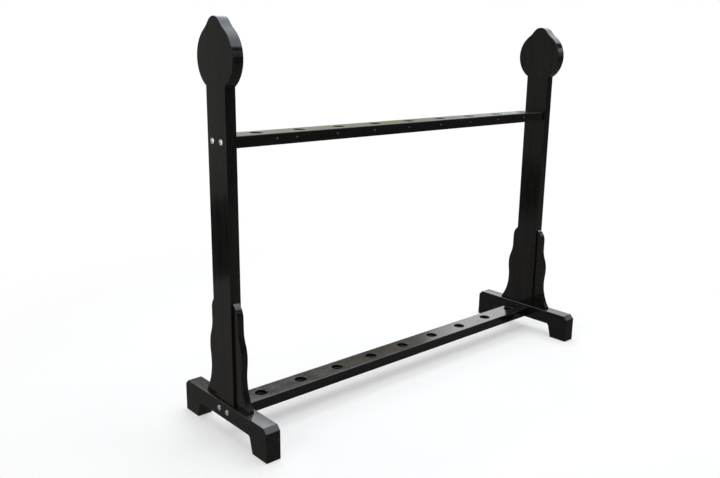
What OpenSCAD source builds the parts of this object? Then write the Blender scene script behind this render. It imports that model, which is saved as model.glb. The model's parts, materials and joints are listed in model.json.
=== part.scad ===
// Floor rack for pole weapons and staffs: two posts on bridge feet, joined by two
// drilled rails. X runs along the rails, Y through the rack, Z up from the floor.

/* [Rack] */
// Height of the finial tips above the floor
rack_height = 1065; // [1000:1:1200]
// Clear distance between the inner faces of the two posts
post_gap = 1232; // [1180:2:1500]

/* [Posts] */
// Thickness of the board that the posts are cut from
post_thick = 30; // [24:1:40]
// Width of the plain shaft of a post
post_width = 82.5; // [70:0.5:95]
// Thickness of the tenon under a post
tenon_thick = 20; // [14:1:22]
// Width of the tenon under a post
tenon_width = 60; // [50:1:66]
// Length of the tenon under a post
tenon_length = 34; // [28:1:38]

/* [Finials] */
// Greatest width of a finial
finial_width = 158; // [145:1:170]
// Height of the finial tip above its widest line
finial_rise = 95; // [90:1:102]
// Radius of the side of the bulb above its widest line
bulb_upper_radius = 78; // [70:1:90]
// Radius of the side of the bulb below its widest line
bulb_lower_radius = 77; // [66:1:82]
// Radius of the rounded nose of a finial
nose_radius = 32; // [24:1:36]
// Radius of the hollow between bulb and nose
hollow_radius = 96; // [60:1:200]

/* [Feet] */
// Length of a foot from front to back
foot_length = 393; // [360:1:460]
// Height of a foot
foot_height = 91; // [84:1:110]
// Thickness of a foot
foot_thick = 43; // [38:1:50]
// Size of the bevel across the top of each end
foot_bevel = 13; // [4:0.5:20]
// Length of a pad where it stands on the floor
pad_length = 64; // [50:1:80]
// Lean of the pad's inner side from floor to arch
pad_lean = 12; // [0:1:20]
// Height of the arch between the pads
arch_height = 46; // [30:1:50]
// Radius of the upper corners of the arch
arch_radius = 9; // [4:0.5:14]

/* [Rails] */
// Width of both rails from front to back
rail_width = 72; // [66:1:78]
// Thickness of both rails
rail_thick = 30; // [27:1:38]
// Radius of the long edges of both rails
rail_edge = 3; // [1:0.5:4]
// Height of the upper rail's underside above the floor
upper_rail_z = 758; // [650:1:840]
// Distance of the lower rail's top below the top of the feet
lower_rail_drop = 6; // [2:1:10]

/* [Pole holes] */
// Number of pole holes in each rail
hole_count = 9; // [2:1:9]
// Distance between the centres of two neighbouring holes
hole_pitch = 134; // [90:1:137]
// Diameter of the pole holes
hole_diameter = 34; // [26:1:40]
// Shift of both rows of holes from the middle towards the right post
hole_shift = 3; // [-8:0.5:8]
// Depth of the sockets in the lower rail
socket_depth = 10; // [6:1:24]
// Bevel round the rim of each hole
hole_bevel = 1; // [0.5:0.25:2]
// Bevel in the bottom corner of each socket
socket_bevel = 1; // [0.5:0.25:3]

/* [Brackets] */
// Thickness of a bracket
bracket_thick = 18; // [14:1:22]
// Height of a bracket above the foot
bracket_height = 280; // [262:1:330]
// Depth of the straight upper lobe
lobe_depth = 20.5; // [16:0.5:26]
// Radius of the shoulder above the lobe
lobe_radius = 42; // [28:1:60]
// Height above the foot at which the upper lobe ends
lobe_foot = 213; // [190:1:222]
// Depth of the belly below the lobe
belly_depth = 35; // [32:0.5:42]
// Height above the foot of the belly's crest
belly_height = 140; // [125:1:150]
// Depth of the waist below the belly
waist_depth = 31; // [27:0.5:34]
// Height above the foot of the waist
waist_height = 88; // [70:1:100]
// Depth of a bracket where it stands on the foot
toe_depth = 58; // [46:1:75]
// Height of the upright end of the toe
toe_edge = 3.5; // [1:0.5:12]

/* [Bolts] */
// Diameter of a bolt's shank
bolt_diameter = 6; // [5:0.5:8]
// Diameter of a bolt's head
head_diameter = 15; // [13:0.5:20]
// Thickness of the upright edge of a bolt's head
head_edge = 1.4; // [0.6:0.2:2.4]
// Rise of the crown of a bolt's head
head_crown = 1.2; // [0.4:0.2:2]
// Width across the flats of the key socket
key_width = 4; // [3:0.5:4.5]
// Depth of the key socket
key_depth = 3; // [2:0.5:5]
// Distance between the two bolts of a joint
bolt_spacing = 38; // [30:1:46]
// Diameter of a barrel nut
nut_diameter = 10; // [9:0.5:12]
// Length of a barrel nut
nut_length = 18; // [14:1:22]
// Distance of a barrel nut from the end of its rail
nut_inset = 32; // [24:1:38]
// Length of thread that passes a barrel nut's centre
bolt_tail = 8; // [6:1:12]

/* [Dowels] */
// Diameter of a dowel
dowel_diameter = 8; // [6:1:10]
// Depth to which a dowel enters each of its two pieces
dowel_reach = 13; // [10:1:15]
// Height above the foot of the lower dowel into the post
lower_dowel_z = 60; // [40:1:80]
// Height above the foot of the upper dowel into the post
upper_dowel_z = 215; // [190:1:235]
// Distance from the post of the dowel into the foot
foot_dowel_y = 36; // [30:1:42]

/* [Screws] */
// Diameter of a screw's rounded head
screw_head = 6; // [4:0.5:8]
// Height of a screw's rounded head
screw_head_height = 1.6; // [1:0.2:2.4]
// Diameter of a screw's shank
screw_shank = 3; // [2:0.5:4]
// Length of a screw's shank
screw_length = 16; // [10:1:22]
// Distance of a screw from the centre of its hole
screw_offset = 33; // [26:1:40]
// The same distance for the first screw, which stands on its hole's other side
first_screw_offset = 39; // [30:1:50]

/* [Fits] */
// Gap round a tenon in its mortise
tenon_gap = 0.2; // [0.1:0.1:0.5]
// Gap round a bolt in its hole
bolt_gap = 0.5; // [0.3:0.1:0.8]
// Gap round a nut, a dowel or a screw in its hole
pin_gap = 0.15; // [0.1:0.05:0.3]

/* [Hidden] */
$fn = 96;

LEFT = -1;
RIGHT = 1;
FRONT = -1;
REAR = 1;
LACQUER = [0.09, 0.085, 0.08];
STEEL = [0.75, 0.75, 0.77];
BEECH = [0.80, 0.66, 0.46];
// Length by which a cutter runs past the face that it opens
past = 1;

// Places along X
post_x = (post_gap + post_thick) / 2;
foot_inner_x = post_x - foot_thick / 2;
post_inner_x = post_gap / 2;

// Places along Z
widest_z = rack_height - finial_rise;
lower_rail_z = foot_height - lower_rail_drop - rail_thick;
rail_mid = rail_thick / 2;
mortise_depth = tenon_length + tenon_gap;

// Finial: the hollow touches the bulb's side and the nose
finial_half = finial_width / 2;
bulb_upper_centre = [finial_half - bulb_upper_radius, widest_z];
bulb_lower_centre = [finial_half - bulb_lower_radius, widest_z];
nose_centre = [0, rack_height - nose_radius];
hollow_centre = circles_meet(
    bulb_upper_centre, bulb_upper_radius + hollow_radius,
    nose_centre, nose_radius + hollow_radius);
hollow_start = toward(bulb_upper_centre, hollow_centre, bulb_upper_radius);
hollow_end = toward(nose_centre, hollow_centre, nose_radius);

// Foot: the arch's side leans, and its corner circle touches side and roof
arch_half = foot_length / 2 - pad_length;
lean_angle = atan2(pad_lean, arch_height);
arch_top_half = arch_half - pad_lean;
arch_corner_y = arch_top_half - arch_radius * (1 / cos(lean_angle) - tan(lean_angle));
arch_corner = [arch_corner_y, arch_height - arch_radius];
arch_side_touch = [
    arch_corner[0] + arch_radius * cos(lean_angle),
    arch_corner[1] + arch_radius * sin(lean_angle)];

// Bracket: the toe's hollow starts upright at the waist and ends on the toe's edge, and
// the shoulder starts upright at the lobe's top
toe_run = toe_depth - waist_depth;
toe_radius = (toe_run ^ 2 + (waist_height - toe_edge) ^ 2) / (2 * toe_run);
toe_hollow_centre = [waist_depth + toe_radius, waist_height];
lobe_top = bracket_height - sqrt(lobe_radius ^ 2 - (lobe_radius - lobe_depth) ^ 2);

// The crossing of two circles that lies further out along the first axis
function circles_meet(c0, r0, c1, r1) =
    let (
        d = norm(c1 - c0),
        e = (c1 - c0) / d,
        along = (r0 * r0 - r1 * r1 + d * d) / (2 * d),
        aside = sqrt(r0 * r0 - along * along))
    c0 + e * along + [e[1], -e[0]] * aside;

// The point at a distance from one point on the way to another
function toward(from, to, distance) = from + (to - from) * distance / norm(to - from);

// Centre of one pole hole along X, the first being the leftmost
function hole_x(i) = hole_shift + (i - (hole_count - 1) / 2) * hole_pitch;

// Place of the screw of one pole hole along X
function screw_x(i) = hole_x(i) + (i == 0 ? first_screw_offset : -screw_offset);

// Stands a drawing of Y and Z up, with its thickness along X
module upright(thick) {
    rotate([90, 0, 90])
        linear_extrude(thick, center = true)
            children();
}

// Round bar along +X from its own origin
module bar_x(diameter, length) {
    rotate([0, 90, 0])
        cylinder(d = diameter, h = length);
}

// Round bar along Y from its own origin, towards the front or the rear
module bar_y(diameter, length, side) {
    rotate([-side * 90, 0, 0])
        cylinder(d = diameter, h = length);
}

// The two places of a bolted pair, front and rear
module bolt_pair() {
    for (side = [FRONT, REAR])
        translate([0, side * bolt_spacing / 2, 0])
            children();
}

// ---- Posts

// Right half of the finial's outline, up from the neck
module half_finial() {
    intersection() {
        translate(bulb_lower_centre)
            circle(bulb_lower_radius);
        translate([0, widest_z - bulb_lower_radius - past])
            square([finial_width, bulb_lower_radius + past]);
    }
    intersection() {
        translate(bulb_upper_centre)
            circle(bulb_upper_radius);
        translate([0, widest_z])
            square([finial_width, hollow_start[1] - widest_z]);
    }
    difference() {
        translate([0, hollow_start[1]])
            square([hollow_centre[0], hollow_end[1] - hollow_start[1]]);
        translate(hollow_centre)
            circle(hollow_radius);
    }
    intersection() {
        translate(nose_centre)
            circle(nose_radius);
        translate([0, hollow_end[1]])
            square(2 * nose_radius);
    }
}

module post_outline() {
    half_finial();
    mirror([1, 0])
        half_finial();
    translate([-post_width / 2, foot_height])
        square([post_width, widest_z - foot_height]);
}

module post(side) {
    color(LACQUER)
        translate([side * post_x, 0, 0])
            difference() {
                union() {
                    upright(post_thick)
                        post_outline();
                    translate([-tenon_thick / 2, -tenon_width / 2, foot_height - tenon_length])
                        cube([tenon_thick, tenon_width, tenon_length + past]);
                }
                for (z = [upper_rail_z + rail_mid, lower_rail_z + rail_mid])
                    translate([-foot_thick / 2, 0, z])
                        bolt_pair()
                            bar_x(bolt_diameter + 2 * bolt_gap, foot_thick);
                for (face = [FRONT, REAR])
                    post_dowel_holes(face);
            }
}

// Holes in one edge of a post for a bracket's two dowels
module post_dowel_holes(face) {
    for (z = [lower_dowel_z, upper_dowel_z])
        translate([0, face * (post_width / 2 + past), foot_height + z])
            bar_y(dowel_diameter + 2 * pin_gap, dowel_reach + pin_gap + past, -face);
}

// ---- Feet

// Space under the bridge of a foot, open to the floor
module arch_outline() {
    for (side = [0, 1])
        mirror([side, 0])
            union() {
                polygon([
                    [0, -past],
                    [arch_half + past * tan(lean_angle), -past],
                    arch_side_touch,
                    [arch_corner[0], arch_height],
                    [0, arch_height]]);
                translate(arch_corner)
                    circle(arch_radius);
            }
}

module foot_outline() {
    half = foot_length / 2;
    difference() {
        polygon([
            [-half, 0], [half, 0],
            [half, foot_height - foot_bevel], [half - foot_bevel, foot_height],
            [foot_bevel - half, foot_height], [-half, foot_height - foot_bevel]]);
        arch_outline();
    }
}

module foot(side) {
    color(LACQUER)
        translate([side * post_x, 0, 0])
            difference() {
                upright(foot_thick)
                    foot_outline();
                foot_mortise();
                translate([-foot_thick / 2 - past, 0, lower_rail_z + rail_mid])
                    bolt_pair()
                        bar_x(bolt_diameter + 2 * bolt_gap, foot_thick + 2 * past);
                for (face = [FRONT, REAR])
                    translate([0, face * (post_width / 2 + foot_dowel_y), foot_height - dowel_reach - pin_gap])
                        cylinder(d = dowel_diameter + 2 * pin_gap, h = dowel_reach + pin_gap + past);
            }
}

// Pocket in the top of a foot for the post's tenon
module foot_mortise() {
    width = tenon_width + 2 * tenon_gap;
    thick = tenon_thick + 2 * tenon_gap;
    translate([-thick / 2, -width / 2, foot_height - mortise_depth])
        cube([thick, width, mortise_depth + past]);
}

// ---- Rails

// Board with four rounded long edges, its underside on Z = 0
module rail_board(length) {
    corner_y = rail_width / 2 - rail_edge;
    corner_z = rail_mid - rail_edge;
    translate([0, 0, rail_mid])
        upright(length)
            union() {
                square([rail_width, 2 * corner_z], center = true);
                square([2 * corner_y, rail_thick], center = true);
                for (y = [-corner_y, corner_y], z = [-corner_z, corner_z])
                    translate([y, z])
                        circle(rail_edge, $fn = 32);
            }
}

// Bevelled rim of a pole hole, opening upwards from Z = 0
module hole_rim() {
    translate([0, 0, -hole_bevel])
        cylinder(
            d1 = hole_diameter,
            d2 = hole_diameter + 2 * (hole_bevel + past),
            h = hole_bevel + past);
}

// Bolt holes and nut pockets in both ends of a rail
module rail_end_holes(length) {
    for (side = [0, 1])
        mirror([side, 0, 0])
            translate([length / 2, 0, 0])
                bolt_pair() {
                    translate([-nut_inset - bolt_tail - pin_gap, 0, rail_mid])
                        bar_x(bolt_diameter + 2 * bolt_gap, nut_inset + bolt_tail + pin_gap + past);
                    translate([-nut_inset, 0, -past])
                        cylinder(
                            d = nut_diameter + 2 * pin_gap,
                            h = rail_mid + nut_length / 2 + pin_gap + past);
                }
}

module upper_rail() {
    color(LACQUER)
        translate([0, 0, upper_rail_z])
            difference() {
                rail_board(post_gap);
                rail_end_holes(post_gap);
                for (i = [0 : hole_count - 1])
                    translate([hole_x(i), 0, 0])
                        through_hole();
                for (i = [0 : hole_count - 1])
                    translate([screw_x(i), -rail_width / 2 - past, rail_mid])
                        bar_y(screw_shank + 2 * pin_gap, screw_length + pin_gap + past, REAR);
            }
}

// Pole hole through the upper rail, bevelled above and below
module through_hole() {
    translate([0, 0, -past])
        cylinder(d = hole_diameter, h = rail_thick + 2 * past);
    translate([0, 0, rail_thick])
        hole_rim();
    mirror([0, 0, 1])
        hole_rim();
}

module lower_rail() {
    length = 2 * foot_inner_x;
    color(LACQUER)
        translate([0, 0, lower_rail_z])
            difference() {
                rail_board(length);
                rail_end_holes(length);
                for (i = [0 : hole_count - 1])
                    translate([hole_x(i), 0, rail_thick])
                        pole_socket();
            }
}

// Blind socket that a pole's butt stands in, bevelled at its mouth and floor
module pole_socket() {
    translate([0, 0, -socket_depth])
        cylinder(d1 = hole_diameter - 2 * socket_bevel, d2 = hole_diameter, h = socket_bevel);
    translate([0, 0, socket_bevel - socket_depth])
        cylinder(d = hole_diameter, h = socket_depth - socket_bevel + past);
    hole_rim();
}

// ---- Brackets

// Strip of a bracket between two upright tangents: hollow at its slim end, round at
// its deep end, with equal arcs. Depths and heights are those of its two ends.
module wave_strip(slim_depth, slim_height, deep_depth, deep_height) {
    rise = abs(slim_height - deep_height) / 2;
    run = (deep_depth - slim_depth) / 2;
    radius = (rise * rise + run * run) / (2 * run);
    low = min(slim_height, deep_height);
    middle = (slim_height + deep_height) / 2;
    slim_is_low = slim_height < deep_height;
    difference() {
        translate([0, slim_is_low ? low : middle])
            square([slim_depth + radius, rise]);
        translate([slim_depth + radius, slim_height])
            circle(radius, $fn = 256);
    }
    intersection() {
        translate([0, slim_is_low ? middle : low])
            square([deep_depth + past, rise]);
        translate([deep_depth - radius, deep_height])
            circle(radius, $fn = 256);
    }
}

// Side view of a bracket: first axis out from the post, second axis up from the foot
module bracket_outline() {
    intersection() {
        translate([lobe_depth - lobe_radius, lobe_top])
            circle(lobe_radius, $fn = 256);
        translate([0, lobe_top])
            square([lobe_depth + past, lobe_radius]);
    }
    translate([0, lobe_foot])
        square([lobe_depth, lobe_top - lobe_foot]);
    wave_strip(lobe_depth, lobe_foot, belly_depth, belly_height);
    wave_strip(waist_depth, waist_height, belly_depth, belly_height);
    difference() {
        square([toe_depth, waist_height]);
        translate(toe_hollow_centre)
            circle(toe_radius, $fn = 256);
    }
}

module bracket(side, face) {
    color(LACQUER)
        bracket_place(side, face)
            difference() {
                upright(bracket_thick)
                    bracket_outline();
                bracket_dowels(pin_gap, past);
            }
}

// Moves a bracket's parts from its own corner to its post and foot
module bracket_place(side, face) {
    translate([side * post_x, face * post_width / 2, foot_height])
        mirror([0, face == FRONT ? 1 : 0, 0])
            children();
}

// Two dowels into the post and one into the foot, or with a gap their holes. A hole
// runs past the bracket's own faces only.
module bracket_dowels(gap, overrun) {
    diameter = dowel_diameter + 2 * gap;
    back = overrun > 0 ? overrun : dowel_reach;
    for (z = [lower_dowel_z, upper_dowel_z])
        translate([0, -back, z])
            bar_y(diameter, back + dowel_reach + gap, REAR);
    translate([0, foot_dowel_y, -back])
        cylinder(d = diameter, h = back + dowel_reach + gap);
}

module dowels(side, face) {
    color(BEECH)
        bracket_place(side, face)
            bracket_dowels(0, 0);
}

// ---- Fasteners

// Cap of a sphere, its flat side on Z = 0
module dome(diameter, rise) {
    radius = (diameter * diameter / 4 + rise * rise) / (2 * rise);
    rotate_extrude()
        intersection() {
            translate([0, rise - radius])
                circle(radius);
            square([diameter / 2, rise]);
        }
}

// Low-domed bolt with a key socket, its head's seat on X = 0 and its shank along +X
module bolt(length) {
    crown_x = -head_edge - head_crown;
    difference() {
        union() {
            translate([-head_edge, 0, 0])
                rotate([0, -90, 0])
                    dome(head_diameter, head_crown);
            translate([-head_edge, 0, 0])
                bar_x(head_diameter, head_edge);
            bar_x(bolt_diameter, length);
        }
        translate([crown_x - past, 0, 0])
            rotate([0, 90, 0])
                cylinder(d = key_width / cos(30), h = key_depth + past, $fn = 6);
    }
}

// Pair of bolts driven inwards from an outer face at a given distance from the middle
module bolts(side, face_x, height, grip) {
    color(STEEL)
        mirror([side == RIGHT ? 1 : 0, 0, 0])
            translate([-face_x, 0, height])
                bolt_pair()
                    bolt(grip + nut_inset + bolt_tail);
}

// Pair of upright barrel nuts near a rail's end
module nuts(side, end_x, height) {
    color(STEEL)
        translate([side * (end_x - nut_inset), 0, height])
            bolt_pair()
                difference() {
                    cylinder(d = nut_diameter, h = nut_length, center = true);
                    translate([-nut_diameter, 0, 0])
                        bar_x(bolt_diameter + 2 * pin_gap, 2 * nut_diameter);
                }
}

// Round-headed screw driven towards +Y, its head's seat on Y = 0
module rail_screw() {
    bar_y(screw_shank, screw_length, REAR);
    rotate([90, 0, 0])
        dome(screw_head, screw_head_height);
}

module upper_rail_screws() {
    color(STEEL)
        for (i = [0 : hole_count - 1])
            translate([screw_x(i), -rail_width / 2, upper_rail_z + rail_mid])
                rail_screw();
}

module upper_bolts(side) {
    bolts(side, post_inner_x + post_thick, upper_rail_z + rail_mid, post_thick);
}

module foot_bolts(side) {
    bolts(side, foot_inner_x + foot_thick, lower_rail_z + rail_mid, foot_thick);
}

module upper_nuts(side) {
    nuts(side, post_inner_x, upper_rail_z + rail_mid);
}

module lower_nuts(side) {
    nuts(side, foot_inner_x, lower_rail_z + rail_mid);
}

post(LEFT);  // left_post
post(RIGHT);  // right_post
foot(LEFT);  // left_foot
foot(RIGHT);  // right_foot
upper_rail();
lower_rail();
bracket(LEFT, FRONT);  // left_front_bracket
bracket(LEFT, REAR);  // left_rear_bracket
bracket(RIGHT, FRONT);  // right_front_bracket
bracket(RIGHT, REAR);  // right_rear_bracket
upper_bolts(LEFT);  // left_upper_bolts
upper_bolts(RIGHT);  // right_upper_bolts
foot_bolts(LEFT);  // left_foot_bolts
foot_bolts(RIGHT);  // right_foot_bolts
upper_nuts(LEFT);  // left_upper_nuts
upper_nuts(RIGHT);  // right_upper_nuts
lower_nuts(LEFT);  // left_lower_nuts
lower_nuts(RIGHT);  // right_lower_nuts
dowels(LEFT, FRONT);  // left_front_dowels
dowels(LEFT, REAR);  // left_rear_dowels
dowels(RIGHT, FRONT);  // right_front_dowels
dowels(RIGHT, REAR);  // right_rear_dowels
upper_rail_screws();
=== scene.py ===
"""Floor rack for pole weapons, dressed in black lacquer and set in a plain studio.

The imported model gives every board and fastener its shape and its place. This script
eases the boards' edges, gives each piece its finish, puts cross-recessed screws in the
upper rail, and builds the studio and the photograph's camera around them. Lengths are
in metres, in the same frame as the model: X along the rails, Y through the rack with
the front at -Y, Z up from the floor.
"""

import json
import logging
import math
from dataclasses import dataclass, field
from enum import Enum
from typing import Any, Iterable, Sequence

import bmesh
import bpy
from mathutils import Matrix, Quaternion, Vector
from mathutils.bvhtree import BVHTree

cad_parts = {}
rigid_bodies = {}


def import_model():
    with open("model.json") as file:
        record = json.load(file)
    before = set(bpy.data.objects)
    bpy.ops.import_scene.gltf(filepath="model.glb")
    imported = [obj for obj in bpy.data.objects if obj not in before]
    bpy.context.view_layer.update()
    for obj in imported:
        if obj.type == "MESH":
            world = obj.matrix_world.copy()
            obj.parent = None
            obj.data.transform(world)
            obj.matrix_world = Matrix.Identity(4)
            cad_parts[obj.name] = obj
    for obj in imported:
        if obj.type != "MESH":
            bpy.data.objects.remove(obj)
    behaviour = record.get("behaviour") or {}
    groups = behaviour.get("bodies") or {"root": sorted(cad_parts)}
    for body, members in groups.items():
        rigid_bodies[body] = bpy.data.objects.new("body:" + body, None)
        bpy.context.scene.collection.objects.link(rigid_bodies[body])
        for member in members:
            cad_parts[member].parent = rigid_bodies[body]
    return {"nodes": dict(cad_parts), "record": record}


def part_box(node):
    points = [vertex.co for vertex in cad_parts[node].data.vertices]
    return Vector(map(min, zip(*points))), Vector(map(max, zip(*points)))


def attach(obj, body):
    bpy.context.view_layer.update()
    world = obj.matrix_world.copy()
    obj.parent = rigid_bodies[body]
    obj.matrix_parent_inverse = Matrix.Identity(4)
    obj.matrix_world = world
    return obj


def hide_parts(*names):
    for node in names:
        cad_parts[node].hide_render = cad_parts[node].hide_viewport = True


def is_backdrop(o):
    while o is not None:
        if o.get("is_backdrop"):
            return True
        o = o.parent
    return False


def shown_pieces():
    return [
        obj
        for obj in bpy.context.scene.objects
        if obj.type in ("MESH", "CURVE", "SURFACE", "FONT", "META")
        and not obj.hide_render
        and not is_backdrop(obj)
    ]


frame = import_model()

LOG = logging.getLogger("rack")
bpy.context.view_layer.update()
MILLIMETRE = 0.001
ROOT_BODY = "root"

Point = tuple[float, float]
Place = tuple[float, float, float]
Colour = tuple[float, float, float]
Socket = bpy.types.NodeSocket


# ---- named options


class Grain(Enum):
    """Direction in which a board's grain runs, as the stretch of its pattern."""

    UPRIGHT = (1.0, 1.0, 0.05)
    ALONG_RACK = (0.05, 1.0, 1.0)
    THROUGH_RACK = (1.0, 0.05, 1.0)


class Side(Enum):
    """Side of the rack, as the word in its nodes' names."""

    LEFT = "left"
    RIGHT = "right"


class Face(Enum):
    """Front or rear of the rack, as the word in its nodes' names."""

    FRONT = "front"
    REAR = "rear"


class Slot(Enum):
    """Material slots of the record."""

    LACQUER = "black_lacquer"
    BRIGHT = "bright_steel"
    ZINC = "zinc_steel"
    SCREW = "dark_screw"
    BEECH = "bare_beech"


# ---- small helpers


def grey(tone: float) -> Colour:
    """Returns a neutral colour."""
    return (tone, tone, tone)


def new_object(name: str, data: bpy.types.ID) -> bpy.types.Object:
    """Makes an object and links it to the scene.

    Args:
        name: the object's name.
        data: its mesh, lamp or camera.

    Returns:
        The object.
    """
    made = bpy.data.objects.new(name, data)
    bpy.context.scene.collection.objects.link(made)
    return made


def turn_towards(place: Place, target: Place) -> Quaternion:
    """Returns the turn that points a lamp or a camera from its place at a target."""
    return (Vector(target) - Vector(place)).to_track_quat("-Z", "Y")


def node_named(name: str) -> bpy.types.Object:
    """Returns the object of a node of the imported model."""
    return frame["nodes"][name]


def middle_of(name: str) -> Vector:
    """Returns the middle of a node's box."""
    low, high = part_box(name)
    return (Vector(low) + Vector(high)) / 2


# ---- node trees


class Graph:
    """Builder of one node tree, with short calls for the nodes that the finishes use."""

    NUMBER_RESULTS = ("DOT_PRODUCT", "LENGTH")
    COLUMN_WIDTH = 180
    ROW_HEIGHT = 40
    ROWS = 7

    def __init__(self, tree: bpy.types.NodeTree) -> None:
        """Starts from an empty tree.

        Args:
            tree: node tree of a material, a world or a group.
        """
        tree.nodes.clear()
        self.tree = tree
        self.column = 0

    @classmethod
    def of_material(cls, name: str) -> tuple[bpy.types.Material, "Graph"]:
        """Makes a material.

        Args:
            name: the material's name.

        Returns:
            The material, and the builder of its tree.
        """
        made = bpy.data.materials.new(name)
        made.use_nodes = True
        return made, cls(made.node_tree)

    def node(
        self, kind: str, inputs: dict[Any, Any] | None = None, **settings: Any
    ) -> bpy.types.Node:
        """Adds a node.

        Args:
            kind: Blender's name of the node type.
            inputs: values or sockets by input name or index.
            settings: attributes of the node itself.

        Returns:
            The new node.
        """
        made = self.tree.nodes.new(kind)
        down = self.ROW_HEIGHT * (self.column % self.ROWS)
        made.location = (self.COLUMN_WIDTH * self.column, -down)
        self.column += 1
        for key, value in settings.items():
            setattr(made, key, value)
        for key, value in (inputs or {}).items():
            self.feed(made.inputs[key], value)
        return made

    def feed(self, target: Socket, value: Any) -> None:
        """Links a socket to an input, or sets the input to a plain value.

        Args:
            target: the input.
            value: socket, number, vector, or colour without its alpha.
        """
        if isinstance(value, bpy.types.NodeSocket):
            self.tree.links.new(value, target)
        elif target.type == "RGBA":
            target.default_value = (*value, 1.0)
        else:
            target.default_value = value

    def math(self, operation: str, *values: Any, clamp: bool = False) -> Socket:
        """Adds a Math node, and returns its result, kept from 0 to 1 if asked."""
        made = self.node(
            "ShaderNodeMath", dict(enumerate(values)), operation=operation, use_clamp=clamp
        )
        return made.outputs[0]

    def vector(self, operation: str, *values: Any) -> Socket:
        """Adds a Vector Math node, and returns its vector or number."""
        made = self.node("ShaderNodeVectorMath", dict(enumerate(values)), operation=operation)
        return made.outputs["Value" if operation in self.NUMBER_RESULTS else "Vector"]

    def weigh(self, first: Socket, share: float, second: Socket, second_share: float) -> Socket:
        """Adds two masks by their shares, and keeps the sum from 0 to 1."""
        parts = (self.math("MULTIPLY", first, share), self.math("MULTIPLY", second, second_share))
        return self.math("ADD", *parts, clamp=True)

    def blend(self, factor: Any, first: Any, second: Any) -> Socket:
        """Mixes two colours, where the factor is the share of the second."""
        inputs = {0: factor, 6: first, 7: second}
        return self.node("ShaderNodeMix", inputs, data_type="RGBA").outputs[2]

    def spread(
        self, value: Any, span: Point, result: Point = (0.0, 1.0), **settings: Any
    ) -> Socket:
        """Maps a span of values to a span of results, clamped."""
        inputs = dict(enumerate((value, *span, *result)))
        return self.node("ShaderNodeMapRange", inputs, **settings).outputs[0]

    def noise(self, vector: Any, scale: Any, detail: float = 3.0, rough: float = 0.5) -> Socket:
        """Adds a Noise texture, whose scale is in cells per metre, and returns its value."""
        inputs = {"Vector": vector, "Scale": scale, "Detail": detail, "Roughness": rough}
        return self.node("ShaderNodeTexNoise", inputs).outputs[0]

    def place(self) -> Socket:
        """Returns the socket of the place on the rack, in metres."""
        return self.node("ShaderNodeTexCoord").outputs["Object"]

    def bump(self, height: Socket, strength: float, depth: float, **under: Socket) -> Socket:
        """Adds a Bump node, its depth in metres, over another Normal if one is given."""
        inputs = {"Strength": strength, "Distance": depth, "Height": height, **under}
        return self.node("ShaderNodeBump", inputs).outputs[0]

    def principled(self, colour: Socket, rough: Socket, normal: Socket, **more: Any) -> Socket:
        """Adds a Principled shader, with any further inputs by name."""
        inputs = {"Base Color": colour, "Roughness": rough, "Normal": normal, **more}
        return self.node("ShaderNodeBsdfPrincipled", inputs).outputs[0]

    def glow(self, colour: Any, strength: Any) -> Socket:
        """Adds an Emission shader and returns its socket."""
        return self.node("ShaderNodeEmission", {"Color": colour, "Strength": strength}).outputs[0]


class Effect:
    """Shader node group that several finishes share, built once."""

    NAME = "effect"
    INPUTS: dict[str, float | Place] = {}
    OUTPUTS: tuple[str, ...] = ()

    @classmethod
    def group(cls) -> bpy.types.NodeTree:
        """Makes the effect's node group at the first call.

        Returns:
            The group.
        """
        made = bpy.data.node_groups.get(cls.NAME)
        if made is None:
            made = bpy.data.node_groups.new(cls.NAME, "ShaderNodeTree")
            for name, value in cls.INPUTS.items():
                kind = "NodeSocketVector" if isinstance(value, tuple) else "NodeSocketFloat"
                socket = made.interface.new_socket(name=name, in_out="INPUT", socket_type=kind)
                socket.default_value = value
            for name in cls.OUTPUTS:
                made.interface.new_socket(
                    name=name, in_out="OUTPUT", socket_type="NodeSocketFloat"
                )
            graph = Graph(made)
            start = graph.node("NodeGroupInput")
            results = cls.wire(graph, start.outputs)
            graph.node("NodeGroupOutput", results)
        return made

    @classmethod
    def wire(cls, graph: Graph, given: Any) -> dict[str, Socket]:
        """Builds the effect's nodes.

        Args:
            graph: builder of the group's tree.
            given: the group's inputs by name.

        Returns:
            The sockets of the group's outputs by name.
        """
        raise NotImplementedError

    @classmethod
    def use(cls, graph: Graph, **values: Any) -> Any:
        """Places the effect in a finish.

        Args:
            graph: builder of the finish's tree.
            values: numbers, vectors or sockets by input name, with _ for a space.

        Returns:
            The outputs of the placed group.
        """
        made = graph.node("ShaderNodeGroup", node_tree=cls.group())
        for name, value in values.items():
            graph.feed(made.inputs[name.replace("_", " ")], value)
        return made.outputs


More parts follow.
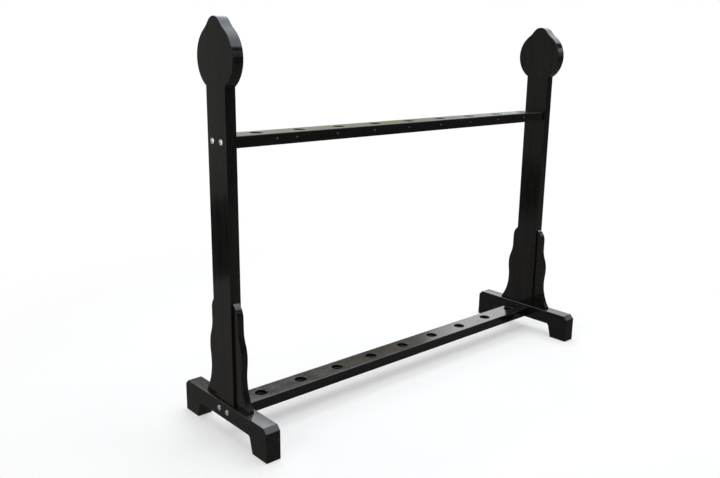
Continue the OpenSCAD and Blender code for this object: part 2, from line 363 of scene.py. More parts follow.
class BoardGrain(Effect):
    """Grain of a sawn board under its lacquer: broad bands, fine streaks and pores."""

    NAME = "board_grain"
    INPUTS = {"Stretch": (1.0, 1.0, 1.0), "Shift": (0.0, 0.0, 0.0), "Streak Scale": 260.0}
    OUTPUTS = ("Bands", "Streaks", "Pores")
    WARP_SCALE = 22.0
    WARP_DEPTH = (0.012, 0.012, 0.012)
    BAND_SCALE = 46.0
    PORES_PER_STREAK = 3.2
    BANDS, STREAKS, PORES = (0.35, 0.68), (0.38, 0.66), (0.60, 0.72)

    @classmethod
    def wire(cls, graph: Graph, given: Any) -> dict[str, Socket]:
        """Builds three stretched noises of falling width. See Effect.wire."""
        moved = graph.vector("ADD", graph.place(), given["Shift"])
        stretched = graph.vector("MULTIPLY", moved, given["Stretch"])
        warp = graph.noise(stretched, cls.WARP_SCALE, detail=2.0)
        bend = graph.node("ShaderNodeCombineXYZ", {0: warp, 1: warp, 2: warp}).outputs[0]
        bent = graph.vector("MULTIPLY_ADD", bend, cls.WARP_DEPTH, stretched)
        bands = graph.noise(bent, cls.BAND_SCALE, detail=2.0, rough=0.55)
        streaks = graph.noise(bent, given["Streak Scale"], detail=4.0, rough=0.6)
        pore_scale = graph.math("MULTIPLY", given["Streak Scale"], cls.PORES_PER_STREAK)
        pores = graph.noise(bent, pore_scale, detail=2.0)
        return {
            "Bands": graph.spread(bands, cls.BANDS),
            "Streaks": graph.spread(streaks, cls.STREAKS),
            "Pores": graph.spread(pores, cls.PORES),
        }


class FilmFlow(Effect):
    """Surface of sprayed lacquer: slow ripple, fine orange peel and specks of dust in it."""

    NAME = "film_flow"
    INPUTS = {"Ripple Scale": 38.0, "Peel Scale": 420.0, "Speck Scale": 150.0}
    OUTPUTS = ("Ripple", "Peel", "Specks", "Clouds")
    SPECK_EDGE = (0.05, 0.10)
    BARE_CELLS = 0.93
    CLOUD_SCALE = 9.0
    CLOUDS = (0.35, 0.7)

    @classmethod
    def wire(cls, graph: Graph, given: Any) -> dict[str, Socket]:
        """Builds the ripple, peel, specks and clouds. See Effect.wire."""
        place = graph.place()
        cell = graph.node(
            "ShaderNodeTexVoronoi",
            {"Vector": place, "Scale": given["Speck Scale"], "Randomness": 1.0},
        )
        near = graph.spread(cell.outputs["Distance"], cls.SPECK_EDGE, (1.0, 0.0))
        chosen = graph.node("ShaderNodeSeparateColor", {0: cell.outputs["Color"]}).outputs[0]
        rare = graph.math("GREATER_THAN", chosen, cls.BARE_CELLS)
        clouds = graph.noise(place, cls.CLOUD_SCALE, detail=4.0, rough=0.6)
        return {
            "Ripple": graph.noise(place, given["Ripple Scale"], detail=1.0),
            "Peel": graph.noise(place, given["Peel Scale"], detail=1.0),
            "Specks": graph.math("MULTIPLY", near, rare),
            "Clouds": graph.spread(clouds, cls.CLOUDS),
        }


class EdgeRubAndSheen(Effect):
    """Mask of the corners, where a finish is thinner and gets rubbed by hands; the lacquer also
    uses it to paint a highlight along its edges.
    """

    NAME = "edge_rub"
    INPUTS = {"Width": 0.0015, "Break Up": 60.0}
    OUTPUTS = ("Edge", "Rubbed")
    CORNER = (0.985, 0.86)
    WORN_PATCHES = (0.48, 0.62)

    @classmethod
    def wire(cls, graph: Graph, given: Any) -> dict[str, Socket]:
        """Compares the rounded normal with the true one. See Effect.wire."""
        rounded = graph.node("ShaderNodeBevel", {"Radius": given["Width"]}, samples=4).outputs[0]
        true = graph.node("ShaderNodeNewGeometry").outputs["True Normal"]
        edge = graph.spread(graph.vector("DOT_PRODUCT", rounded, true), cls.CORNER)
        patches = graph.noise(graph.place(), given["Break Up"], detail=4.0, rough=0.65)
        broken = graph.spread(patches, cls.WORN_PATCHES)
        return {"Edge": edge, "Rubbed": graph.math("MULTIPLY", edge, broken)}


class SettledDust(Effect):
    """Mask of the thin dust that lies on faces that look up."""

    NAME = "settled_dust"
    INPUTS = {"Patch Scale": 26.0, "Fleck Scale": 900.0}
    OUTPUTS = ("Dust",)
    LOOKS_UP = (0.75, 1.0)
    PATCHES, THINNEST_PATCH = (0.35, 0.7), 0.25
    FLECKS, THINNEST_FLECK = (0.5, 0.75), 0.35

    @classmethod
    def wire(cls, graph: Graph, given: Any) -> dict[str, Socket]:
        """Weighs patches and flecks by how far the face looks up. See Effect.wire."""
        normal = graph.node("ShaderNodeNewGeometry").outputs["Normal"]
        upward = graph.node("ShaderNodeSeparateXYZ", {0: normal}).outputs[2]
        facing = graph.spread(upward, cls.LOOKS_UP)
        place = graph.place()
        patches = graph.noise(place, given["Patch Scale"], detail=3.0, rough=0.6)
        flecks = graph.noise(place, given["Fleck Scale"], detail=1.0)
        patch = graph.spread(patches, cls.PATCHES, (cls.THINNEST_PATCH, 1.0))
        fleck = graph.spread(flecks, cls.FLECKS, (cls.THINNEST_FLECK, 1.0))
        return {"Dust": graph.math("MULTIPLY", facing, graph.math("MULTIPLY", patch, fleck))}


class TurnedMetal(Effect):
    """Rings that a lathe leaves round the axes of a pair of fasteners, and fine scratches."""

    NAME = "turned_metal"
    INPUTS = {"Half Spacing": 0.019, "Height": 0.0, "Ring Scale": 5200.0}
    OUTPUTS = ("Rings", "Scratches")
    SCRATCH_STRETCH = (1.0, 1.0, 6.0)
    SCRATCH_SCALE = 700.0
    SCRATCHES = (0.45, 0.7)

    @classmethod
    def wire(cls, graph: Graph, given: Any) -> dict[str, Socket]:
        """Folds the pair into one axis and draws rings about it. See Effect.wire."""
        place = graph.place()
        parts = graph.node("ShaderNodeSeparateXYZ", {0: place}).outputs
        across = graph.math("SUBTRACT", graph.math("ABSOLUTE", parts[1]), given["Half Spacing"])
        upward = graph.math("SUBTRACT", parts[2], given["Height"])
        squares = (graph.math("POWER", across, 2.0), graph.math("POWER", upward, 2.0))
        radius = graph.math("SQRT", graph.math("ADD", *squares))
        rings = graph.math("SINE", graph.math("MULTIPLY", radius, given["Ring Scale"]))
        stretched = graph.vector("MULTIPLY", place, cls.SCRATCH_STRETCH)
        scratches = graph.noise(stretched, cls.SCRATCH_SCALE, detail=2.0, rough=0.7)
        return {
            "Rings": graph.spread(rings, (-1.0, 1.0)),
            "Scratches": graph.spread(scratches, cls.SCRATCHES),
        }


# ---- finishes


class Finish:
    """A finish that makes one material, at the first call."""

    name: str
    slot: Slot

    def material(self) -> bpy.types.Material:
        """Makes the finish's material at the first call.

        Returns:
            The material.
        """
        made = bpy.data.materials.get(self.name)
        if made is None:
            made, graph = Graph.of_material(self.name)
            graph.node("ShaderNodeOutputMaterial", {"Surface": self.wire(graph)})
        return made

    def wire(self, graph: Graph) -> Socket:
        """Builds the finish's nodes.

        Args:
            graph: builder of the material's tree.

        Returns:
            The shader's socket.
        """
        raise NotImplementedError

    def put_on(self, piece: bpy.types.Object) -> None:
        """Gives a piece this finish.

        Args:
            piece: a node of the model, or a piece made here.
        """
        piece.data.materials.clear()
        piece.data.materials.append(self.material())


@dataclass(frozen=True)
class BlackLacquer(Finish):
    """Black lacquer on a board, thin enough for the grain to show a little."""

    name: str
    grain: Grain
    shift: Place = (0.0, 0.0, 0.0)
    slot: Slot = Slot.LACQUER
    film: Colour = (0.0028, 0.0028, 0.0029)
    streak: Colour = (0.0160, 0.0142, 0.0124)
    grain_shows: float = 0.45
    # Edge colour: brownish rub-through wear, and also a painted highlight along the edges.
    worn_and_sheen_edge: Colour = (0.030, 0.022, 0.016)
    worn_and_sheen_share: float = 0.6
    dust: Colour = (0.20, 0.20, 0.19)
    dust_share: float = 0.045
    speck_share: float = 0.10
    gloss: float = 0.065
    gloss_spread: float = 0.05
    streaks_dull: float = 0.04
    dust_dulls: float = 2.0
    ior: float = 1.55
    grain_depth: float = 0.000045
    grain_strength: float = 0.5
    streak_height: float = 0.5
    peel_depth: float = 0.000014
    peel_strength: float = 0.6
    ripple_height: float = 4.0

    def wire(self, graph: Graph) -> Socket:
        """Builds the lacquer from grain, film, rubbed edges lightened as a painted highlight, and
        dust. See Finish.wire.
        """
        grain = BoardGrain.use(graph, Stretch=self.grain.value, Shift=self.shift)
        film = FilmFlow.use(graph)
        rub = EdgeRubAndSheen.use(graph)
        dust = SettledDust.use(graph)
        tone = graph.weigh(grain["Bands"], self.grain_shows, grain["Streaks"], self.grain_shows)
        colour = graph.blend(tone, self.film, self.streak)
        # Lightens the edges: rub-through wear plus a painted edge highlight.
        thin = graph.math("MULTIPLY", rub["Rubbed"], self.worn_and_sheen_share)
        colour = graph.blend(thin, colour, self.worn_and_sheen_edge)
        dusty = graph.math("MULTIPLY", dust["Dust"], self.dust_share)
        specks = graph.math("MULTIPLY", film["Specks"], self.speck_share)
        colour = graph.blend(graph.math("ADD", dusty, specks, clamp=True), colour, self.dust)
        clouded = graph.math("MULTIPLY_ADD", film["Clouds"], self.gloss_spread, self.gloss)
        streaked = graph.math("MULTIPLY", grain["Streaks"], self.streaks_dull)
        rough = graph.math("ADD", clouded, streaked)
        rough = graph.math("MULTIPLY_ADD", dusty, self.dust_dulls, rough, clamp=True)
        ridges = graph.math("MULTIPLY", grain["Streaks"], self.streak_height)
        relief = graph.math("SUBTRACT", ridges, grain["Pores"])
        board = graph.bump(relief, self.grain_strength, self.grain_depth)
        flow = graph.math("MULTIPLY_ADD", film["Ripple"], self.ripple_height, film["Peel"])
        normal = graph.bump(flow, self.peel_strength, self.peel_depth, Normal=board)
        return graph.principled(colour, rough, normal, IOR=self.ior)


@dataclass(frozen=True)
class TurnedSteel(Finish):
    """Plated steel of a pair of turned fasteners."""

    name: str
    height: float
    slot: Slot = Slot.BRIGHT
    half_spacing: float = 0.019
    plate: Colour = (0.90, 0.90, 0.905)
    worn: Colour = (0.78, 0.785, 0.795)
    gloss: float = 0.36
    gloss_spread: float = 0.16
    metallic: float = 0.95
    scratches_dull: float = 0.5
    clouds_dull: float = 0.4
    scratch_height: float = 0.5
    ring_depth: float = 0.000012
    ring_strength: float = 0.4

    def wire(self, graph: Graph) -> Socket:
        """Builds the metal from lathe rings, scratches and rubbed edges. See Finish.wire."""
        turned = TurnedMetal.use(graph, Half_Spacing=self.half_spacing, Height=self.height)
        rub = EdgeRubAndSheen.use(graph, Width=0.0004, Break_Up=900.0)
        film = FilmFlow.use(graph, Ripple_Scale=300.0, Peel_Scale=2400.0, Speck_Scale=900.0)
        scratches, clouds = turned["Scratches"], film["Clouds"]
        dull = graph.weigh(scratches, self.scratches_dull, clouds, self.clouds_dull)
        colour = graph.blend(dull, self.plate, self.worn)
        colour = graph.blend(rub["Edge"], colour, self.plate)
        rough = graph.math("MULTIPLY_ADD", dull, self.gloss_spread, self.gloss)
        scratched = graph.math("MULTIPLY", scratches, self.scratch_height)
        height = graph.math("ADD", turned["Rings"], scratched)
        normal = graph.bump(height, self.ring_strength, self.ring_depth)
        return graph.principled(colour, rough, normal, Metallic=self.metallic)


@dataclass(frozen=True)
class ZincSteel(TurnedSteel):
    """Darker zinc plating of the barrel nuts."""

    slot: Slot = Slot.ZINC
    plate: Colour = (0.58, 0.585, 0.60)
    worn: Colour = (0.42, 0.43, 0.44)
    gloss: float = 0.32
    metallic: float = 1.0


@dataclass(frozen=True)
class BlackedSteel(Finish):
    """Dark plated steel of the small screws, worn brighter round the recess."""

    name: str = "screw_steel"
    slot: Slot = Slot.SCREW
    plate: Colour = (0.105, 0.105, 0.11)
    bright: Colour = (0.42, 0.42, 0.43)
    gloss: float = 0.28
    gloss_spread: float = 0.15
    metallic: float = 0.9
    rub_share: float = 0.8
    speck_share: float = 0.5
    peel_depth: float = 0.00001
    peel_strength: float = 0.4

    def wire(self, graph: Graph) -> Socket:
        """Builds the metal from wear on its edges and fine clouds. See Finish.wire."""
        rub = EdgeRubAndSheen.use(graph, Width=0.00035, Break_Up=1300.0)
        film = FilmFlow.use(graph, Ripple_Scale=600.0, Peel_Scale=4200.0, Speck_Scale=1600.0)
        worn = graph.weigh(rub["Rubbed"], self.rub_share, film["Specks"], self.speck_share)
        colour = graph.blend(worn, self.plate, self.bright)
        rough = graph.math("MULTIPLY_ADD", film["Clouds"], self.gloss_spread, self.gloss)
        normal = graph.bump(film["Peel"], self.peel_strength, self.peel_depth)
        return graph.principled(colour, rough, normal, Metallic=self.metallic)


@dataclass(frozen=True)
class BareBeech(Finish):
    """Unfinished beech of the dowels."""

    name: str = "dowel_beech"
    grain: Grain = Grain.THROUGH_RACK
    slot: Slot = Slot.BEECH
    pale: Colour = (0.56, 0.38, 0.22)
    brown: Colour = (0.36, 0.21, 0.11)
    gloss: float = 0.62
    gloss_spread: float = 0.2
    streak_share: float = 0.5
    pore_share: float = 0.5
    grain_depth: float = 0.00004
    grain_strength: float = 0.5

    def wire(self, graph: Graph) -> Socket:
        """Builds the wood from bands, streaks and pores. See Finish.wire."""
        grain = BoardGrain.use(graph, Stretch=self.grain.value, Streak_Scale=900.0)
        streaks, pores = grain["Streaks"], grain["Pores"]
        tone = graph.weigh(streaks, self.streak_share, pores, self.pore_share)
        colour = graph.blend(tone, self.pale, self.brown)
        rough = graph.math("MULTIPLY_ADD", pores, self.gloss_spread, self.gloss)
        normal = graph.bump(streaks, self.grain_strength, self.grain_depth)
        return graph.principled(colour, rough, normal)


# ---- photograph and camera


@dataclass(frozen=True)
class PhotoPoints:
    """Named image points, in pixels of the photograph's frame from its upper left."""

    width: int = 720
    height: int = 478
    object_left_x: float = 185.9
    object_right_x: float = 573.5
    object_top_y: float = 15.5
    object_bottom_y: float = 464.3
    left_tip: tuple[float, float] = (220.2, 15.7)
    right_tip: tuple[float, float] = (541.3, 27.6)
    left_foot_corner: tuple[float, float] = (266.8, 464.3)
    right_foot_corner: tuple[float, float] = (564.3, 342.2)
    first_upper_hole: tuple[float, float] = (257.7, 132.3)
    last_upper_hole: tuple[float, float] = (520.7, 110.6)
    first_socket: tuple[float, float] = (260.6, 393.1)
    eighth_socket: tuple[float, float] = (485.2, 316.6)
    upper_rear_bolt: tuple[float, float] = (211.9, 140.3)
    upper_front_bolt: tuple[float, float] = (220.4, 142.2)
    foot_rear_bolt: tuple[float, float] = (218.7, 407.7)
    foot_front_bolt: tuple[float, float] = (226.3, 412.9)
    second_screw: tuple[float, float] = (296.7, 136.9)
    last_screw: tuple[float, float] = (523.7, 116.6)


@dataclass
class PhotoCamera:
    """Camera at the photograph's place, found from the object's own edges."""

    points: PhotoPoints
    location: Place = (-1.6202, -1.62155, 1.00897)
    aim: Place = (-0.1819, 0.0, 0.4588)
    roll: float = 0.01364
    lens: float = 38.7257
    sensor_width: float = 36.0
    shift_x: float = 0.0
    shift_y: float = 0.0
    near_limit: float = 0.05
    far_limit: float = 60.0
    pose: Matrix = field(default_factory=Matrix)

    def build(self) -> None:
        """Makes the camera, aims and rolls it, and sets it as the scene's."""
        data = bpy.data.cameras.new("photo_camera")
        data.sensor_fit = "AUTO"
        data.sensor_width = self.sensor_width
        data.lens = self.lens
        data.shift_x = self.shift_x
        data.shift_y = self.shift_y
        data.clip_start = self.near_limit
        data.clip_end = self.far_limit
        camera = new_object("photo_camera", data)
        turn = turn_towards(self.location, self.aim) @ Quaternion((0.0, 0.0, 1.0), self.roll)
        camera.location = self.location
        camera.rotation_mode = "QUATERNION"
        camera.rotation_quaternion = turn
        bpy.context.scene.camera = camera
        self.pose = Matrix.LocRotScale(Vector(self.location), turn, None)

    @property
    def long_side(self) -> int:
        """Long side of the photograph's frame, in pixels."""
        return max(self.points.width, self.points.height)

    @property
    def focal(self) -> float:
        """Focal length in pixels of the photograph's frame."""
        return self.long_side * self.lens / self.sensor_width

    def shown(self, place: Vector) -> Point:
        """Projects a place into the photograph's frame.

        Args:
            place: point in the rack's frame.

        Returns:
            The x and y where it shows, in pixels.
        """
        seen = self.pose.inverted() @ place
        axis_x = self.points.width / 2 - self.shift_x * self.long_side
        axis_y = self.points.height / 2 + self.shift_y * self.long_side
        return axis_x + self.focal * seen.x / -seen.z, axis_y - self.focal * seen.y / -seen.z

    def ray(self, point: Point) -> Vector:
        """Finds the ray through an image point.

        Args:
            point: x and y in the photograph's frame.

        Returns:
            The ray's direction in the rack's frame.
        """
        across = point[0] - self.points.width / 2 + self.shift_x * self.long_side
        upward = self.points.height / 2 - point[1] + self.shift_y * self.long_side
        return (self.pose.to_quaternion() @ Vector((across, upward, -self.focal))).normalized()


class Carrier:
    """Finished surface of some pieces, for rays from the camera."""

    def __init__(self, pieces: Iterable[bpy.types.Object]) -> None:
        """Gathers the finished faces.

        Args:
            pieces: the pieces, as placed and with their modifiers.
        """
        graph = bpy.context.evaluated_depsgraph_get()
        self.places: list[Vector] = []
        faces: list[tuple[int, ...]] = []
        for piece in pieces:
            done = piece.evaluated_get(graph)
            mesh = done.to_mesh()
            start = len(self.places)
            self.places += [done.matrix_world @ vertex.co for vertex in mesh.vertices]
            faces += [tuple(start + i for i in face.vertices) for face in mesh.polygons]
            done.to_mesh_clear()
        self.tree = BVHTree.FromPolygons(self.places, faces)

    def place(self, camera: PhotoCamera, point: Point) -> Vector:
        """Finds where the ray through an image point meets the surface.

        Args:
            camera: the photograph's camera.
            point: x and y in the photograph's frame.

        Returns:
            The place. A miss gives the place nearest the ray.
        """
        start = Vector(camera.location)
        along = camera.ray(point)
        place = self.tree.ray_cast(start, along)[0]
        if place is None:
            nearest = min(
                self.places, key=lambda p: ((p - start) - (p - start).dot(along) * along).length
            )
            place = self.tree.find_nearest(nearest)[0]
        return place

    def hides(self, camera: PhotoCamera, place: Vector, slack: float = 0.8 * MILLIMETRE) -> bool:
        """Tells whether the surface stands between the camera and a place.

        Args:
            camera: the photograph's camera.
            place: point in the rack's frame.
            slack: depth by which the surface may stand before it, in metres.

        Returns:
            True if something hides the place.
        """
        start = Vector(camera.location)
        reach = (place - start).length - slack
        return self.tree.ray_cast(start, place - start, reach)[0] is not None


# ---- sub-assemblies


@dataclass
class EasedEdges:
    """Small round that sanding and lacquer leave on a board's sharp edges."""

    radius: float = 0.6 * MILLIMETRE
    segments: int = 3
    sharper_than: float = math.radians(35.0)
    weld: float = 0.01 * MILLIMETRE
    flat_within: float = math.radians(0.4)
    area_weight: int = 50

    def put_on(self, board: bpy.types.Object) -> None:
        """Adds the modifiers that round a board's edges.

        Args:
            board: a node of the model.
        """
        weld = board.modifiers.new("join_faces", "WELD")
        weld.merge_threshold = self.weld
        flatten = board.modifiers.new("whole_faces", "DECIMATE")
        flatten.decimate_type = "DISSOLVE"
        flatten.angle_limit = self.flat_within
        ease = board.modifiers.new("ease_edges", "BEVEL")
        ease.width = self.radius
        ease.segments = self.segments
        ease.limit_method = "ANGLE"
        ease.angle_limit = self.sharper_than
        ease.use_clamp_overlap = False
        ease.loop_slide = False
        ease.miter_outer = "MITER_ARC"
        shade = board.modifiers.new("flat_faces", "WEIGHTED_NORMAL")
        shade.mode = "FACE_AREA"
        shade.weight = self.area_weight
        shade.keep_sharp = False


@dataclass
class Boards:
    """Lacquered boards, whose grain starts at a place of its own on each."""

    grain_shift: float
    shift_run: Place

    def lacquer(
        self, name: str, number: int, grain: Grain, edges: EasedEdges, **finish: float
    ) -> None:
        """Rounds a board's edges and lacquers it.

        Args:
            name: the board's node.
            number: place in the order of the boards, from 1.
            grain: direction of its grain.
            edges: round of its edges.
            finish: values in which its lacquer differs.
        """
        board = node_named(name)
        edges.put_on(board)
        offset = self.grain_shift * number
        shift = tuple(run * offset for run in self.shift_run)
        BlackLacquer(f"lacquer_{name}", grain, shift, **finish).put_on(board)
        LOG.info("%s: edges rounded by %.1f mm, lacquered", name, edges.radius / MILLIMETRE)


@dataclass
class UprightFrame(Boards):
    """Posts, feet and brackets of one side of the rack."""

    grain_shift: float = 0.37
    shift_run: Place = (1.0, 1.7, 0.6)
    side: Side = Side.LEFT
    edges: EasedEdges = field(default_factory=EasedEdges)
    foot_edges: EasedEdges = field(default_factory=lambda: EasedEdges(radius=1.9 * MILLIMETRE))
    right_foot_ior: float = 1.46

    @property
    def boards(self) -> dict[str, Grain]:
        """Lists the boards.

        Returns:
            Their nodes' names, with the direction of their grain.
        """
        word = self.side.value
        names = {f"{word}_post": Grain.UPRIGHT, f"{word}_foot": Grain.THROUGH_RACK}
        for face in Face:
            names[f"{word}_{face.value}_bracket"] = Grain.UPRIGHT
        return names

    def dress(self) -> None:
        """Rounds the boards' edges and lacquers them, the right foot a little less shiny."""
        first = 1 + (len(self.boards) if self.side is Side.RIGHT else 0)
        for number, (name, grain) in enumerate(self.boards.items(), start=first):
            edges = self.foot_edges if name.endswith("foot") else self.edges
            finish = {"ior": self.right_foot_ior} if name == "right_foot" else {}
            self.lacquer(name, number, grain, edges, **finish)


@dataclass
class DrilledRails(Boards):
    """The two rails, whose long edges and hole rims are eased in the model already."""

    grain_shift: float = 2.3
    shift_run: Place = (1.0, 0.4, 0.9)
    names: tuple[str, str] = ("upper_rail", "lower_rail")
    ends: EasedEdges = field(
        default_factory=lambda: EasedEdges(
            radius=0.4 * MILLIMETRE, sharper_than=math.radians(70.0)
        )
    )

    def dress(self) -> None:
        """Rounds the edges of the rails' ends and lacquers the rails."""
        for number, name in enumerate(self.names, start=1):
            self.lacquer(name, number, Grain.ALONG_RACK, self.ends)


@dataclass
class Connectors:
    """Bolts, barrel nuts and dowels that join one side of the rack."""

    METALS = {
        "upper_bolts": TurnedSteel,
        "foot_bolts": TurnedSteel,
        "upper_nuts": ZincSteel,
        "lower_nuts": ZincSteel,
    }

    side: Side

    def dress(self) -> None:
        """Gives the fasteners their metals and the dowels their wood."""
        word = self.side.value
        for fasteners, metal in self.METALS.items():
            name = f"{word}_{fasteners}"
            height = round(middle_of(name).z, 5)
            metal(name=f"steel_{name}", height=height).put_on(node_named(name))
        for face in Face:
            BareBeech().put_on(node_named(f"{word}_{face.value}_dowels"))
        LOG.info("%s side: bolts, nuts and dowels finished", word)


@dataclass
class RailScrews:
    """Cross-recessed screws in the upper rail's front, one for each pole hole."""

    ON_AXIS = 1e-9
    BOX_FACES = ((0, 1, 2, 3), (4, 5, 6, 7), (0, 1, 5, 4), (1, 2, 6, 5), (2, 3, 7, 6), (3, 0, 4, 7))

    node: str = "upper_rail_screws"
    count: int = 9
    head_radius: float = 3.0 * MILLIMETRE
    head_height: float = 1.6 * MILLIMETRE
    rim_height: float = 0.25 * MILLIMETRE
    shank_radius: float = 1.5 * MILLIMETRE
    shank_length: float = 16.0 * MILLIMETRE
    recess_span: float = 3.3 * MILLIMETRE
    recess_width: float = 0.75 * MILLIMETRE
    recess_depth: float = 1.15 * MILLIMETRE
    recess_taper: float = 0.55
    smooth_up_to: float = math.radians(32.0)
    turns: tuple[float, ...] = (12.0, 61.0, 34.0, 78.0, 5.0, 47.0, 22.0, 69.0, 40.0)
    pieces: list[bpy.types.Object] = field(default_factory=list)

    def centres(self) -> list[Vector]:
        """Reads the seats of the screws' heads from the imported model.

        Returns:
            The middle of each head's seat, from left to right.
        """
        low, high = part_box(self.node)
        places = [vertex.co for vertex in node_named(self.node).data.vertices]
        front = [place for place in places if place.y < low[1] + self.head_height / 4]
        groups: list[list[float]] = []
        for x in sorted(place.x for place in front):
            if not groups or x - groups[-1][-1] > self.head_radius:
                groups.append([])
            groups[-1].append(x)
        seat, middle_z = low[1] + self.head_height, (low[2] + high[2]) / 2
        return [Vector(((group[0] + group[-1]) / 2, seat, middle_z)) for group in groups]

    def profile(self, steps: int = 10) -> list[Point]:
        """Draws the half outline of a screw.

        Args:
            steps: number of points on the dome.

        Returns:
            Radius and depth of each point, from the dome's top to the shank's tip.
        """
        rise = self.head_height - self.rim_height
        dome = (self.head_radius**2 + rise**2) / (2 * rise)
        reach = math.asin(self.head_radius / dome)
        line = []
        for step in range(steps + 1):
            angle = reach * step / steps
            line.append((dome * math.sin(angle), -self.head_height + dome * (1 - math.cos(angle))))
        return line + [
            (self.head_radius, 0.0),
            (self.shank_radius, 0.0),
            (self.shank_radius, self.shank_length - 2 * self.shank_radius),
            (0.0, self.shank_length),
        ]

    @staticmethod
    def closed_mesh(name: str, shape: bmesh.types.BMesh) -> bpy.types.Mesh:
        """Turns a shape's faces outwards and makes it a mesh.

        Args:
            name: the mesh's name.
            shape: the shape, which is freed.

        Returns:
            The mesh.
        """
        bmesh.ops.recalc_face_normals(shape, faces=shape.faces)
        mesh = bpy.data.meshes.new(name)
        shape.to_mesh(mesh)
        shape.free()
        return mesh

    def turned_body(self, around: int = 48) -> bpy.types.Mesh:
        """Spins the outline into a closed screw whose axis is Y, its head towards -Y.

        Args:
            around: number of facets round the axis.

        Returns:
            The mesh.
        """
        body = bmesh.new()
        rings: list[list[bmesh.types.BMVert]] = []
        for radius, depth in self.profile():
            ring = []
            for i in range(around if radius > self.ON_AXIS else 1):
                angle = 2 * math.pi * i / around
                corner = (radius * math.cos(angle), depth, radius * math.sin(angle))
                ring.append(body.verts.new(corner))
            rings.append(ring)
        for first, second in zip(rings, rings[1:]):
            for i in range(around):
                corners = (
                    first[i % len(first)],
                    second[i % len(second)],
                    second[(i + 1) % len(second)],
                    first[(i + 1) % len(first)],
                )
                unique = list(dict.fromkeys(corners))
                if len(unique) > 2:
                    body.faces.new(unique)
        return self.closed_mesh("screw_body", body)

    def recess(self) -> bpy.types.Mesh:
        """Builds the tapered cross that cuts the recess.

        Returns:
            The cutter's mesh, its wide end towards -Y.
        """
        cutter = bmesh.new()
        top, floor = -self.head_height - MILLIMETRE, -self.head_height + self.recess_depth
        width = self.recess_width / 2
        for turned in (False, True):
            corners = []
            for depth, taper in ((top, 1.0), (floor, self.recess_taper)):
                length = self.recess_span / 2 * taper
                outline = ((-length, -width), (length, -width), (length, width), (-length, width))
                for u, v in outline:
                    x, z = (v, u) if turned else (u, v)
                    corners.append(cutter.verts.new((x, depth, z)))
            for face in self.BOX_FACES:
                cutter.faces.new([corners[i] for i in face])
        return self.closed_mesh("screw_recess", cutter)

    def screw_mesh(self) -> bpy.types.Mesh:
        """Cuts the recess out of the turned body.

        Returns:
            The finished mesh of one screw.
        """
        body = new_object("screw_blank", self.turned_body())
        cutter = new_object("screw_cutter", self.recess())
        cut = body.modifiers.new("recess", "BOOLEAN")
        cut.operation = "DIFFERENCE"
        cut.solver = "EXACT"
        cut.use_self = True
        cut.object = cutter
        graph = bpy.context.evaluated_depsgraph_get()
        mesh = bpy.data.meshes.new_from_object(body.evaluated_get(graph))
        mesh.name = "rail_screw"
        for piece in (body, cutter):
            bpy.data.objects.remove(piece, do_unlink=True)
        mesh.shade_smooth()
        mesh.set_sharp_from_angle(angle=self.smooth_up_to)
        return mesh

    def build(self, camera: PhotoCamera, rail: Carrier) -> None:
        """Seats a screw in each of the rail's pilot holes.

        The row is found by rays through the photograph's points of two screws, and each
        screw then goes into the pilot hole next to its place on that line.

        Args:
            camera: the photograph's camera.
            rail: finished surface of the upper rail.
        """
        holes = self.centres()
        mesh = self.screw_mesh()
        start = rail.place(camera, camera.points.second_screw)
        end = rail.place(camera, camera.points.last_screw)
        step = (end - start) / (self.count - 2)
        for number in range(self.count):
            guess = start + step * (number - 1)
            hole = min(holes, key=lambda centre: abs(centre.x - guess.x))
            if number == 0:
                hole = holes[0]
            screw = new_object(f"rail_screw_{number + 1}", mesh.copy())
            screw.location = hole
            screw.rotation_euler = (0.0, math.radians(self.turns[number]), 0.0)
            self.pieces.append(screw)
            off = abs(hole.x - guess.x) / MILLIMETRE
            LOG.info("%s: seated, %.1f mm from the photograph's line", screw.name, off)
        bpy.context.view_layer.update()
        for screw in self.pieces:
            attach(screw, ROOT_BODY)
            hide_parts(self.node)

    def dress(self) -> None:
        """Gives the screws their dark plated steel."""
        finish = BlackedSteel()
        for screw in self.pieces:
            finish.put_on(screw)


# ---- studio


def flat_piece(
    name: str, corners: Sequence[Place], material: bpy.types.Material
) -> bpy.types.Object:
    """Makes a single flat face.

    Args:
        name: name of the object and its mesh.
        corners: the face's corners in order.
        material: its material.

    Returns:
        The object.
    """
    mesh = bpy.data.meshes.new(name)
    mesh.from_pydata(corners, [], [range(len(corners))])
    mesh.materials.append(material)
    return new_object(name, mesh)


@dataclass(frozen=True)
class Softbox:
    """Rectangular lamp that looks at a point."""

    name: str
    place: Place
    looks_at: Place
    width: float
    height: float
    radiance: float
    tint: Colour = grey(1.0)
    mirrored: bool = True

    def build(self) -> None:
        """Makes the lamp, hidden from the camera, and from gloss where cards stand for it."""
        data = bpy.data.lights.new(self.name, "AREA")
        data.shape = "RECTANGLE"
        data.size = self.width
        data.size_y = self.height
        data.color = self.tint
        data.energy = self.radiance * math.pi * self.width * self.height
        lamp = new_object(self.name, data)
        lamp.location = self.place
        lamp.rotation_mode = "QUATERNION"
        lamp.rotation_quaternion = turn_towards(self.place, self.looks_at)
        lamp.visible_camera = False
        lamp.visible_glossy = self.mirrored
        LOG.info("%s: lamp of %.1f W", self.name, data.energy)


